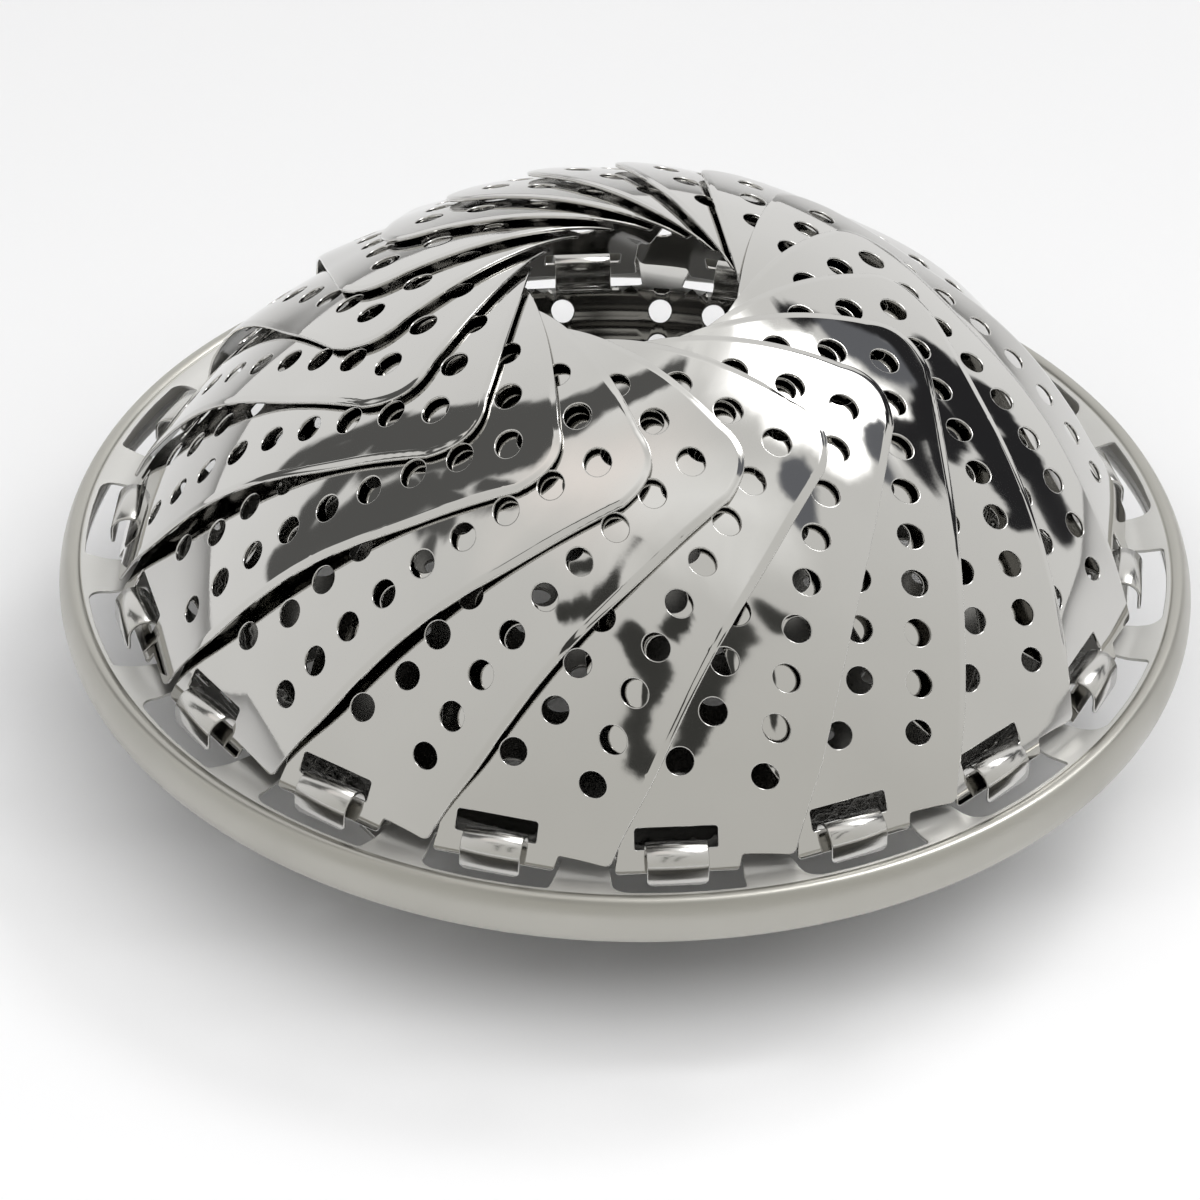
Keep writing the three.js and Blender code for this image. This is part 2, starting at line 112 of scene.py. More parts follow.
LEG_RADIUS = 40.0
LEG_SHEET = 0.8
LEG_WIDTH = 9.0
LEG_GAP = 0.45
EYE_RADIUS = 1.7
RIVET_OUT = 7.2
RIVET_HOLE = 1.5
SEAT_GAP = 0.3
FLOOR_TOP = 22.0
FLOOR_UNDER = 21.5
BRACKET_TOP = 21.2
BRACKET_UNDER = 20.4
PIN_HEIGHT = 17.85
EDGE_ANGLE = math.radians(50)

# The camera that fits the photo's rim, in pixels and degrees
PHOTO_WIDTH = 1200.0
FOCAL_PIXELS = 6905.0
SHIFT_PIXELS = (-26.3, -52.0)
CAMERA_AZIMUTH = -6.4
CAMERA_ELEVATION = 36.44
CAMERA_ROLL = 1.58
CAMERA_DISTANCE = 1.0
CAMERA_AIM = 0.0352


# Small helpers for flat outlines

def smoothstep(x, low, high):
    t = min(max((x - low) / (high - low), 0.0), 1.0)
    return t * t * (3 - 2 * t)


def curve_to(points, control, end, steps):
    """Adds a quadratic curve from the last point."""
    x0, y0 = points[-1][:2]
    for i in range(1, steps + 1):
        t = i / steps
        a, b, c = (1 - t) ** 2, 2 * t * (1 - t), t * t
        points.append((a * x0 + b * control[0] + c * end[0], a * y0 + b * control[1] + c * end[1], 0.0))


def rounded(points, steps=6, closed=True):
    """The points, each (x, y, corner radius), with an arc at each corner that has a radius."""
    out = []
    count = len(points)
    for i, (x, y, radius) in enumerate(points):
        here = Vector((x, y))
        if radius <= 0 or (not closed and i in (0, count - 1)):
            out.append(here)
            continue
        before = Vector(points[i - 1][:2]) - here
        after = Vector(points[(i + 1) % count][:2]) - here
        half = before.angle(after) / 2
        reach = min(radius / math.tan(half), before.length * 0.48, after.length * 0.48)
        fit = reach * math.tan(half)
        middle = here + (before.normalized() + after.normalized()).normalized() * (fit / math.sin(half))
        start = here + before.normalized() * reach - middle
        end = here + after.normalized() * reach - middle
        sweep = start.angle_signed(end, 0.0)
        for k in range(steps + 1):
            turn = -sweep * k / steps
            c, s = math.cos(turn), math.sin(turn)
            out.append(middle + Vector((start.x * c - start.y * s, start.x * s + start.y * c)))
    return out


def thinned(points, least):
    """The closed loop without points closer together than the least distance."""
    out = [points[0]]
    for p in points[1:]:
        if (p - out[-1]).length >= least:
            out.append(p)
    if (out[-1] - out[0]).length < least:
        out.pop()
    return out


def split_long(points, most):
    """The closed loop with points added so that no side is longer than the most."""
    out = []
    for i, p in enumerate(points):
        q = points[(i + 1) % len(points)]
        parts = max(1, math.ceil((q - p).length / most))
        out += [p.lerp(q, k / parts) for k in range(parts)]
    return out


def circle(x, y, radius, steps):
    """A hole's loop, clockwise, so that the sheet lies on its left."""
    turns = [-2 * math.pi * k / steps for k in range(steps)]
    return [Vector((x + radius * math.cos(t), y + radius * math.sin(t))) for t in turns]


def left_of(loop):
    """For each point of a closed loop, the mitred direction to its left, where the sheet lies."""
    out = []
    for i, p in enumerate(loop):
        a = (p - loop[i - 1]).normalized()
        b = (loop[(i + 1) % len(loop)] - p).normalized()
        na, nb = Vector((-a.y, a.x)), Vector((-b.y, b.x))
        m = na + nb
        m = m.normalized() if m.length > 1e-6 else na
        out.append(m / max(m.dot(na), 0.45))
    return out


def mesh_object(name, verts, faces, normals=None):
    mesh = bpy.data.meshes.new(name)
    mesh.from_pydata([v * MM for v in verts], [], faces)
    mesh.polygons.foreach_set("use_smooth", [True] * len(mesh.polygons))
    if normals:
        mesh.normals_split_custom_set_from_vertices([n.normalized() for n in normals])
    mesh.update()
    obj = bpy.data.objects.new(name, mesh)
    bpy.context.scene.collection.objects.link(obj)
    return obj


class Sheet:
    """A sheet of metal cut from a flat plan and formed by a surface, with rounded cut edges.

    surface(x, y) gives a point halfway through the sheet, and the upper side sees x turn to y anticlockwise.
    under_faces lists the faces of the lower skin."""

    def __init__(self, surface, half, edge):
        self.surface = surface
        self.half = half
        self.edge = edge
        self.verts = []
        self.normals = []
        self.faces = []
        self.under_faces = []

    def frame_at(self, p):
        """The middle point over a plan point, the surface's two slopes there and its normal."""
        e = 0.05
        here = self.surface(p.x, p.y)
        ax = (self.surface(p.x + e, p.y) - self.surface(p.x - e, p.y)) / (2 * e)
        ay = (self.surface(p.x, p.y + e) - self.surface(p.x, p.y - e)) / (2 * e)
        return here, ax, ay, ax.cross(ay).normalized()

    def add(self, vert, normal):
        self.verts.append(vert)
        self.normals.append(normal)
        return len(self.verts) - 1

    def cover(self, loops, open_loops, inner, outer):
        """Lays both skins and the cut edges, and gives the open loops' vertices for what joins there.

        outer is the number of the loop round the whole sheet. inner holds points for the middle, each with
        the least distance that it keeps from every loop."""
        cut = [(loop, left_of(loop)) for loop in loops]
        inset = [[p + m * self.edge for p, m in zip(loop, lefts)] for loop, lefts in cut]
        bounds = inset + open_loops
        points, faces_in = [], []
        for loop in bounds:
            turn = sum(loop[i - 1].cross(p) for i, p in enumerate(loop))
            indices = list(range(len(points), len(points) + len(loop)))
            faces_in.append(indices if turn > 0 else indices[::-1])
            points += loop
        tree = kdtree.KDTree(len(points))
        for i, p in enumerate(points):
            tree.insert((p.x, p.y, 0), i)
        tree.balance()
        near = []
        for p, gap in inner:
            if tree.find((p.x, p.y, 0))[2] > gap:
                near.append(p)
        plan, _, tris, origins, _, sources = delaunay_2d_cdt(points + near, [], faces_in, 1, 1e-7)
        kept = [t for t, s in zip(tris, sources) if list(s) == [outer]]
        used = sorted({v for t in kept for v in t})
        top, under = {}, {}
        for v in used:
            here, _, _, n = self.frame_at(plan[v])
            top[v] = self.add(here + n * self.half, n)
            under[v] = self.add(here - n * self.half, -n)
        for a, b, c in kept:
            self.faces.append((top[a], top[b], top[c]))
            self.under_faces.append(len(self.faces))
            self.faces.append((under[a], under[c], under[b]))
        found = {}
        for v, names in enumerate(origins):
            for n in names:
                found[n] = v
        start = 0
        edge, half = self.edge, self.half
        steps = [(edge * 0.36, half - edge * 0.23, 1), (0.0, half - edge, 0), (0.0, edge - half, 0),
                 (edge * 0.36, edge * 0.23 - half, -1)]
        for (loop, lefts), ring in zip(cut, inset):
            rows = [[top[found[start + i]] for i in range(len(ring))]]
            for inward, height, tilt in steps:
                row = []
                for p, m in zip(loop, lefts):
                    here, ax, ay, n = self.frame_at(p + m * inward)
                    out = -(ax * m.x + ay * m.y).normalized()
                    row.append(self.add(here + n * height, out + n * tilt))
                rows.append(row)
            rows.append([under[found[start + i]] for i in range(len(ring))])
            for upper, lower in zip(rows, rows[1:]):
                for i in range(len(ring)):
                    j = (i + 1) % len(ring)
                    self.faces.append((upper[j], upper[i], lower[i], lower[j]))
            start += len(ring)
        ends = []
        for loop in open_loops:
            ends.append(([top[found[start + i]] for i in range(len(loop))],
                         [under[found[start + i]] for i in range(len(loop))]))
            start += len(loop)
        return ends


def strip_line(points, thickness):
    """Both sides of a strip of sheet along an open line of points."""
    near, far = [], []
    for i, p in enumerate(points):
        a = (points[max(i, 1)] - points[max(i, 1) - 1]).normalized()
        k = min(i, len(points) - 2)
        b = (points[k + 1] - points[k]).normalized()
        m = (a + b).normalized()
        side = Vector((-m.y, m.x)) * (thickness / 2 / m.dot(a))
        near.append(p + side)
        far.append(p - side)
    return near, far


def arc(cx, cy, radius, start, end, steps):
    return [Vector((cx + radius * math.cos(start + (end - start) * i / steps),
                    cy + radius * math.sin(start + (end - start) * i / steps))) for i in range(steps + 1)]


def turned(name, profile, sides):
    """A revolved piece about the vertical axis from (radius, height) points, open ends on the axis."""
    verts, faces, rows = [], [], []
    for r, z in profile:
        if r < 1e-6:
            verts.append(Vector((0, 0, z)))
            rows.append([len(verts) - 1] * sides)
            continue
        row = []
        for k in range(sides):
            a = 2 * math.pi * k / sides
            verts.append(Vector((r * math.cos(a), r * math.sin(a), z)))
            row.append(len(verts) - 1)
        rows.append(row)
    for low, high in zip(rows, rows[1:]):
        for k in range(sides):
            j = (k + 1) % sides
            face = [low[k], low[j], high[j], high[k]]
            face = [v for n, v in enumerate(face) if v not in face[:n]]
            if len(face) > 2:
                faces.append(face)
    return mesh_object(name, verts, faces)


# Looks

def new_material(name):
    mat = bpy.data.materials.new(name)
    mat.use_nodes = True
    nodes = mat.node_tree.nodes
    nodes.clear()
    out = nodes.new("ShaderNodeOutputMaterial")
    shader = nodes.new("ShaderNodeBsdfPrincipled")
    mat.node_tree.links.new(shader.outputs[0], out.inputs["Surface"])
    return mat, nodes, mat.node_tree.links, shader


def steel(name, colour, rough, rough_swing, wave, wave_depth, grain_scale, grain_depth, ringed):
    """Stainless steel: slow waves in the sheet, a fine grain and faint smudges."""
    mat, nodes, links, shader = new_material(name)
    shader.inputs["Metallic"].default_value = 1.0
    where = nodes.new("ShaderNodeTexCoord")
    own = nodes.new("ShaderNodeObjectInfo")
    shift = nodes.new("ShaderNodeVectorMath")
    shift.operation = "ADD"
    spread = nodes.new("ShaderNodeVectorMath")
    spread.operation = "SCALE"
    spread.inputs["Scale"].default_value = 3.0
    links.new(own.outputs["Random"], spread.inputs[0])
    links.new(where.outputs["Object"], shift.inputs[0])
    links.new(spread.outputs[0], shift.inputs[1])
    smudge = nodes.new("ShaderNodeTexNoise")
    smudge.inputs["Scale"].default_value = 70.0
    smudge.inputs["Detail"].default_value = 5.0
    links.new(shift.outputs[0], smudge.inputs["Vector"])
    tone = nodes.new("ShaderNodeMapRange")
    tone.inputs["From Min"].default_value = 0.35
    tone.inputs["From Max"].default_value = 0.7
    tone.inputs["To Min"].default_value = rough
    tone.inputs["To Max"].default_value = rough + rough_swing
    links.new(smudge.outputs["Fac"], tone.inputs["Value"])
    links.new(tone.outputs["Result"], shader.inputs["Roughness"])
    mix = nodes.new("ShaderNodeMix")
    mix.data_type = "RGBA"
    mix.inputs["A"].default_value = (*colour, 1)
    mix.inputs["B"].default_value = (*[c * 0.93 for c in colour], 1)
    links.new(smudge.outputs["Fac"], mix.inputs["Factor"])
    links.new(mix.outputs["Result"], shader.inputs["Base Color"])
    slow = nodes.new("ShaderNodeTexNoise")
    slow.inputs["Scale"].default_value = wave
    slow.inputs["Detail"].default_value = 1.0
    links.new(shift.outputs[0], slow.inputs["Vector"])
    bend = nodes.new("ShaderNodeBump")
    bend.inputs["Strength"].default_value = 1.0
    bend.inputs["Distance"].default_value = wave_depth
    links.new(slow.outputs["Fac"], bend.inputs["Height"])
    grain = nodes.new("ShaderNodeTexNoise")
    grain.inputs["Scale"].default_value = grain_scale
    grain.inputs["Detail"].default_value = 3.0
    if ringed:
        apart = nodes.new("ShaderNodeSeparateXYZ")
        links.new(where.outputs["Object"], apart.inputs[0])
        flat = nodes.new("ShaderNodeVectorMath")
        flat.operation = "MULTIPLY"
        flat.inputs[1].default_value = (1, 1, 0)
        links.new(where.outputs["Object"], flat.inputs[0])
        reach = nodes.new("ShaderNodeVectorMath")
        reach.operation = "LENGTH"
        links.new(flat.outputs[0], reach.inputs[0])
        turn = nodes.new("ShaderNodeMath")
        turn.operation = "ARCTAN2"
        links.new(apart.outputs["Y"], turn.inputs[0])
        links.new(apart.outputs["X"], turn.inputs[1])
        slower = nodes.new("ShaderNodeMath")
        slower.operation = "MULTIPLY"
        slower.inputs[1].default_value = 0.006
        links.new(turn.outputs[0], slower.inputs[0])
        ring = nodes.new("ShaderNodeCombineXYZ")
        links.new(reach.outputs["Value"], ring.inputs["X"])
        links.new(apart.outputs["Z"], ring.inputs["Y"])
        links.new(slower.outputs[0], ring.inputs["Z"])
        links.new(ring.outputs[0], grain.inputs["Vector"])
    else:
        links.new(shift.outputs[0], grain.inputs["Vector"])
    fine = nodes.new("ShaderNodeBump")
    fine.inputs["Strength"].default_value = 0.6
    fine.inputs["Distance"].default_value = grain_depth
    links.new(grain.outputs["Fac"], fine.inputs["Height"])
    links.new(bend.outputs["Normal"], fine.inputs["Normal"])
    links.new(fine.outputs["Normal"], shader.inputs["Normal"])
    return mat


POLISHED = steel("polished", (0.60, 0.592, 0.572), 0.026, 0.035, 38.0, 0.00022, 900.0, 0.0000015, False)
SATIN = steel("satin", (0.44, 0.43, 0.395), 0.30, 0.12, 30.0, 0.0002, 2600.0, 0.000006, True)
# A darker copy of the steel: painted shade for the dish's floor and wall and for the petals' undersides
INSIDE_PAINTED_SHADE = steel("inside", (0.25, 0.245, 0.23), 0.12, 0.08, 45.0, 0.0002, 1500.0, 0.000002, False)
# A rougher steel for the ledge between the slots, with a colour lighter than the rest of the sheet: the roughness
# is its finish, the lighter colour is painted light
LEDGE_PAINTED_LIGHT = steel("ledge", (0.60, 0.595, 0.575), 0.48, 0.10, 30.0, 0.0002, 2600.0, 0.000004, False)
BENT = steel("bent", (0.58, 0.572, 0.55), 0.16, 0.08, 45.0, 0.0002, 1500.0, 0.000002, False)
PRESSED = steel("pressed", (0.52, 0.512, 0.49), 0.09, 0.08, 45.0, 0.0003, 1500.0, 0.000002, False)
SOFT = steel("satin_leg", (0.66, 0.655, 0.635), 0.24, 0.12, 40.0, 0.0002, 1500.0, 0.000004, False)
TURNED = steel("turned", (0.62, 0.61, 0.59), 0.2, 0.1, 60.0, 0.0001, 1800.0, 0.000004, False)


def dress(obj, body, node, slot, *materials):
    for material in materials:
        obj.data.materials.append(material)
    if node:
        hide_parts(*([node] if isinstance(node, str) else node))
    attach(obj, body)
    return obj


# Petals

def dome_point(reach, along):
    """The middle of a closed petal's sheet: reach is across it, along is up it from the hinge."""
    x = HINGE_RADIUS - ROLL_RADIUS * (FOOT_SINE - math.sin(FOOT_SLOPE - along / ROLL_RADIUS))
    ramp = smoothstep(along, 2.0, 16.0)
    flat = (1 - ramp) * FOOT_WIDTH / 2
    hug = smoothstep(along / PETAL_LENGTH, 0.34, 0.7)
    crown = SPREAD_AT_FOOT + (1 - SPREAD_AT_FOOT) * hug if reach > 0 else HIDDEN_SPREAD
    bent = math.copysign(max(abs(reach) - flat, 0.0), reach) * crown
    radius = math.hypot(x, bent)
    slope = math.asin(FOOT_SINE - (HINGE_RADIUS - radius) / ROLL_RADIUS)
    height = HINGE_HEIGHT + ROLL_RADIUS * (math.cos(slope) - math.cos(FOOT_SLOPE))
    lift = ramp * LIFT_PER_PETAL * math.atan2(reach, x) / PITCH
    out = lift * math.sin(slope) / radius
    return Vector((x + out * x, reach + out * bent, height + lift * math.cos(slope)))


def edge_reach(along):
    """How far out the chord of the petal's right edge lies."""
    share = (along - CORNER_ALONG) / (SHOULDER_ALONG - CORNER_ALONG)
    return CORNER_REACH + (SHOULDER_REACH - CORNER_REACH) * share


def petal_holes():
    """Every hole's (reach, along): one over the hook and three staggered columns."""
    places = [HOOK_HOLE]
    for i in range(COLUMNS):
        first = COLUMN_START + i * COLUMN_STAGGER
        along = first
        while along < PETAL_LENGTH - HOLE_SETBACK:
            reach = edge_reach(along) - COLUMN_INSET - i * COLUMN_SPACING + COLUMN_LEAN * i * (along - first)
            places.append((reach, along))
            along += HOLE_PITCH
    return places


def petal_outline():
    """The blank's outline from the left of its foot, up the right edge, over the tip and down the left."""
    foot = -BAR_HEIGHT / 2
    points = [(-FOOT_WIDTH / 2, foot, 0.6), (FOOT_WIDTH / 2, foot, 0.6), (FOOT_WIDTH / 2 + 0.5, STEP_ALONG, 0.35),
              (CORNER_REACH - 0.55, STEP_ALONG, 1.9), (CORNER_REACH, CORNER_ALONG, 0.0)]
    bulge = PETAL_LENGTH * 0.5
    out = edge_reach(bulge) + (SHOULDER_REACH - CORNER_REACH) * BULGE_SHARE
    curve_to(points, (out, bulge), (SHOULDER_REACH, SHOULDER_ALONG), 40)
    curve_to(points, (SHOULDER_REACH, TIP_CORNER_ALONG), (TIP_CORNER_REACH, TIP_CORNER_ALONG), 14)
    curve_to(points, (TIP_CORNER_REACH / 2, PETAL_LENGTH), (0.0, PETAL_LENGTH), 20)
    points.append((-4.0, PETAL_LENGTH, 1.2))
    waist = PETAL_LENGTH * WAIST_SHARE
    curve_to(points, (-9.5, PETAL_LENGTH - 14.4), (WAIST_REACH, waist), 26)
    curve_to(points, (WAIST_REACH, (waist + 9.0) / 2), (-8.4, 9.0), 12)
    points.append((-8.1, BAR_HEIGHT / 2, 0.5))
    return thinned(rounded(points), 0.12)


edge_points = split_long(petal_outline(), 0.5)
petal_edge = kdtree.KDTree(len(edge_points))
for i, p in enumerate(edge_points):
    petal_edge.insert((p.x, p.y, 0), i)
petal_edge.balance()


def petal_point(reach, along):
    """The dome with the petal's right edge bent down a little towards its neighbour."""
    here = dome_point(reach, along)
    here.z -= CROWN_SINK * smoothstep(along, 40.0, 70.0)
    if reach < 2.0:
        return here
    gap = petal_edge.find((reach, along, 0))[2]
    drop = EDGE_DROP * (1 - smoothstep(gap, 0.0, EDGE_BAND)) * smoothstep(along, 6.0, 16.0)
    drop *= smoothstep(reach, 2.0, 9.0)
    if drop <= 0:
        return here
    slope = FOOT_SLOPE - along / ROLL_RADIUS
    return here - Vector((math.sin(slope), 0, math.cos(slope))) * drop


def build_petal():
    """The petal's sheet, with its window and holes, and fine points along the bent edge."""
    sheet = Sheet(petal_point, SHEET / 2, 0.18)
    loops = [split_long(petal_outline(), 1.1)]
    low, high, wide = BAR_HEIGHT / 2, BAR_HEIGHT / 2 + WINDOW_HEIGHT, WINDOW_WIDTH / 2
    window = rounded([(-wide, low, 0.3), (-wide, high, 0.45), (wide, high, 0.45), (wide, low, 0.3)])
    loops.append(split_long(window, 1.1))
    for reach, along in petal_holes():
        loops.append(circle(reach, along, HOLE_RADIUS, 28))
    inner = []
    row = 0
    along = -BAR_HEIGHT / 2
    while along < PETAL_LENGTH:
        reach = -13.0 + (row % 2) * PETAL_GRID / 2
        while reach < SHOULDER_REACH:
            inner.append((Vector((reach, along)), 0.9))
            reach += PETAL_GRID
        along += PETAL_GRID * 0.87
        row += 1
    edge = loops[0]
    for depth in (0.5, 0.8, 1.15):
        inner += [(p + m * depth, 0.24) for p, m in zip(edge, left_of(edge)) if p.x > 0 and p.y > 4]
    sheet.cover(loops, [], inner, 0)
    return sheet


petal_sheet = build_petal()
first_petal = mesh_object("petal_mesh", petal_sheet.verts, petal_sheet.faces, petal_sheet.normals)
petal_mesh = first_petal.data
for finish in (POLISHED, INSIDE_PAINTED_SHADE):
    petal_mesh.materials.append(finish)
# The petals' undersides take the darker steel, painted shade
for i in petal_sheet.under_faces:
    petal_mesh.polygons[i].material_index = 1
bpy.data.objects.remove(first_petal)
for i in range(PETALS):
    number = f"{i + 1:02d}"
    petal = bpy.data.objects.new(f"petal_{number}_sheet", petal_mesh)
    bpy.context.scene.collection.objects.link(petal)
    petal.matrix_world = Matrix.Rotation(FRONT + i * PITCH, 4, "Z")
    dress(petal, f"petal_{number}", f"petal_{number}", "polished_steel")


# Dish

# The sheet's middle from the bush to the bead: (radius, depth under the flange's top face, corner radius)
DISH_LINE = [
    (BUSH_HOLE, 12.0, 0), (52.0, 12.0, 3.0), (60.5, 9.0, 2.5), (65.2, 3.6, 3.0), (67.8, 0.7, 0.9), (68.5, 0.0, 0.8),
    (74.9, 0.0, 6.0), (BEAD_START, -0.88, 0),
]
# The rolled bead, over its crest, down its belly and back in: (radius, depth)
RIM_LINE = [
    (BEAD_START, -0.88), (79.05, -0.95), (79.35, -1.16), (79.85, -1.3), (80.4, -1.18), (80.85, -0.7), (81.3, 0.25),
    (81.6, 1.3), (81.72, 2.5), (81.62, 3.7), (81.3, 4.65), (80.7, 5.2), (79.95, 5.28), (79.35, 4.85), (79.12, 4.1),
    (79.05, 3.2), (79.08, 2.2), (79.2, 1.2), (79.4, 0.5),
]


def middle_height(depth):
    return FLANGE_HEIGHT - SHEET / 2 - depth


dish_table = rounded([(r, middle_height(d), k) for r, d, k in DISH_LINE], 8, closed=False)


def dish_point(x, y):
    """The middle of the dish's sheet, with faint rings pressed into the wall."""
    radius = math.hypot(x, y)
    line = dish_table
    if radius <= line[0].x:
        z = line[0].y
    else:
        z = line[-1].y
        for a, b in zip(line, line[1:]):
            if radius <= b.x:
                z = a.y + (b.y - a.y) * (radius - a.x) / max(b.x - a.x, 1e-9)
                break
    press = smoothstep(radius, 54.0, 57.0) * (1 - smoothstep(radius, 65.6, 67.4))
    ripple = RIPPLE_DEPTH * press * math.sin(2 * math.pi * (radius - 60.0) / RIPPLE_PITCH)
    return Vector((x, y, z + ripple))


def spline(points, steps):
    """A smooth line through the points."""
    out = []
    for i in range(len(points) - 1):
        a = Vector(points[max(i - 1, 0)])
        b, c = Vector(points[i]), Vector(points[i + 1])
        d = Vector(points[min(i + 2, len(points) - 1)])
        for k in range(steps):
            t = k / steps
            out.append(0.5 * ((2 * b) + (c - a) * t + (2 * a - 5 * b + 4 * c - d) * t * t
                              + (3 * b - a - 3 * c + d) * t ** 3))
    out.append(Vector(points[-1]))
    return out


def spun(x, y, angle):
    """A flat point turned about the axis."""
    c, s = math.cos(angle), math.sin(angle)
    return Vector((x * c - y * s, x * s + y * c))


def dish_holes():
    """Every hole's (radius, angle, size, plan squeeze): two rows of pairs up the wall and five over the floor."""
    places = []
    for radius in WALL_ROWS:
        places += [(radius, PITCH * (i + share), WALL_HOLE, WALL_SQUEEZE)
                   for i in range(PETALS) for share in WALL_PAIR]
    for radius, count in FLOOR_ROWS:
        for k in range(count):
            angle = 2 * math.pi * k / count
            offs = [angle - math.pi / 2 - 2 * math.pi * n / LEGS for n in range(LEGS)]
            near_leg = any(abs(math.remainder(off, 2 * math.pi)) < LEG_CLEAR_ANGLE for off in offs)
            if not (near_leg and radius > LEG_CLEAR_RADIUS):
                places.append((radius, angle, HOLE_RADIUS, 1.0))
    return places


def build_dish():
    """The dish in one sheet: floor, wall and ledge from the plan, then the rolled bead joined on."""
    sheet = Sheet(dish_point, SHEET / 2, 0.14)
    loops = [circle(0, 0, BUSH_HOLE, 48)]
    for i in range(PETALS):
        angle = FRONT + i * PITCH
        w = SLOT_WIDTH / 2
        bow = [(math.sqrt(SLOT_OUTER ** 2 - y * y), y, 0.0) for y in (5.0, 2.5, 0.0, -2.5)]
        end = math.sqrt(SLOT_OUTER ** 2 - w * w)
        slot = rounded([(SLOT_INNER, -w, 0.6), (SLOT_INNER, w, 0.6), (end, w, 0.6), *bow, (end, -w, 2.4)], 6)
        slot = split_long([spun(p.x, p.y, angle) for p in slot], 1.2)
        loops.append(slot)
    for radius, angle, size, squeeze in dish_holes():
        loops.append([spun(radius + p.x * squeeze, p.y, angle) for p in circle(0, 0, size, 24)])
    for i in range(LEGS):
        angle = math.pi / 2 + i * 2 * math.pi / LEGS
        reach = LEG_RADIUS + RIVET_OUT
        loops.append(circle(reach * math.cos(angle), reach * math.sin(angle), RIVET_HOLE, 20))
    rim_loop = [spun(BEAD_START, 0, 2 * math.pi * k / 360) for k in range(360)]
    inner = []
    radii = [6, 10, 18, 26, 34, 42, 50] + [p.x for p in dish_table[1:-1] if 49.5 < p.x < 53.5 or p.x > 67.5]
    radii += [53.9 + 0.32 * k for k in range(43)] + [69.5, 71.5, 73.5, 76.8]
    for radius in radii:
        count = 180 if radius > 60 else max(24, int(radius * 2))
        inner += [(spun(radius, 0, 2 * math.pi * (k + 0.5) / count), 0.25 if radius > 60 else 0.8)
                  for k in range(count)]
    (top, under), = sheet.cover(loops, [rim_loop], inner, len(loops))
    line = spline([(r, middle_height(d)) for r, d in RIM_LINE], 5)
    count = len(rim_loop)
    previous = (top, under)
    for i in range(1, len(line)):
        a = (line[i] - line[i - 1]).normalized()
        b = (line[min(i + 1, len(line) - 1)] - line[min(i, len(line) - 2)]).normalized()
        m = (a + b).normalized()
        side = Vector((-m.y, m.x))
        rows = []
        for sign in (1, -1):
            p = line[i] + side * sign * SHEET / 2
            row = []
            for k in range(count):
                t = 2 * math.pi * k / count
                row.append(sheet.add(Vector((p.x * math.cos(t), p.x * math.sin(t), p.y)),
                                     Vector((side.x * math.cos(t), side.x * math.sin(t), side.y)) * sign))
            rows.append(row)
        for k in range(count):
            j = (k + 1) % count
            sheet.faces.append((previous[0][k], rows[0][k], rows[0][j], previous[0][j]))
            sheet.faces.append((previous[1][j], rows[1][j], rows[1][k], previous[1][k]))
        previous = rows
    for k in range(count):
        j = (k + 1) % count
        sheet.faces.append((previous[0][k], previous[1][k], previous[1][j], previous[0][j]))
    return mesh_object("dish_sheet", sheet.verts, sheet.faces, sheet.normals)


dish = build_dish()
dress(dish, "base", "dish", "satin_steel", PRESSED, SATIN, INSIDE_PAINTED_SHADE, LEDGE_PAINTED_LIGHT, POLISHED)
for face in dish.data.polygons:
    reach = math.hypot(face.center.x, face.center.y)
    if reach > BEAD_START * MM:
        # The bead's inner wall under the curl takes the lighter, glossier polished steel: the gloss is a finish,
        # the lighter colour is painted light over the shaded hollow
        inner_wall = reach < CURL_END * MM and face.center.z < (FLANGE_HEIGHT - CURL_DEPTH) * MM
        face.material_index = 4 if inner_wall else 1
    # The ledge takes the rougher steel with the lighter colour, painted light
    elif reach > LEDGE_START * MM:
        face.material_index = 3
    # The floor and wall take the darker steel, painted shade
    elif reach < WALL_END * MM:
        face.material_index = 2


def hook_mesh():
    """One hook in its petal's frame: a bevelled strip up from the slot's edge, round the bar and down."""
    root = HINGE_RADIUS - HOOK_RADIUS - HOOK_BEND
    root_height = FLANGE_HEIGHT - SHEET / 2
    line = [Vector((root - 0.9, root_height)), Vector((root - 0.3, root_height))]
    line += arc(root, root_height + HOOK_BEND, HOOK_BEND, -math.pi / 2, 0, 6)
    line += arc(HINGE_RADIUS, HINGE_HEIGHT, HOOK_RADIUS, math.pi, 0, 22)
    line += [Vector((HINGE_RADIUS + HOOK_RADIUS, FLANGE_HEIGHT + up)) for up in (0.3, -0.35, -0.75, -0.95)]
    half = HOOK_WIDTH / 2
    trims = [0.0] * (len(line) - 4) + [0.0, 0.0, 0.28, 0.75]
    near, far = strip_line(line, SHEET + 0.01)
    verts, faces, rows = [], [], []
    e = 0.13
    for i, p in enumerate(line):
        w = half - trims[i]
        n, f = near[i], far[i]
        m = (f - n).normalized() * e
        ring = [(n, -(w - e)), (n, w - e), (n + m, w), (f - m, w),
                (f, w - e), (f, -(w - e)), (f - m, -w), (n + m, -w)]
        row = []
        for q, y in ring:
            verts.append(Vector((q.x, y, q.y)))
            row.append(len(verts) - 1)
        rows.append(row)
    for a, b in zip(rows, rows[1:]):
        for k in range(8):
            j = (k + 1) % 8
            faces.append((a[k], a[j], b[j], b[k]))
    faces.append(tuple(rows[0][::-1]))
    faces.append(tuple(rows[-1]))
    return verts, faces


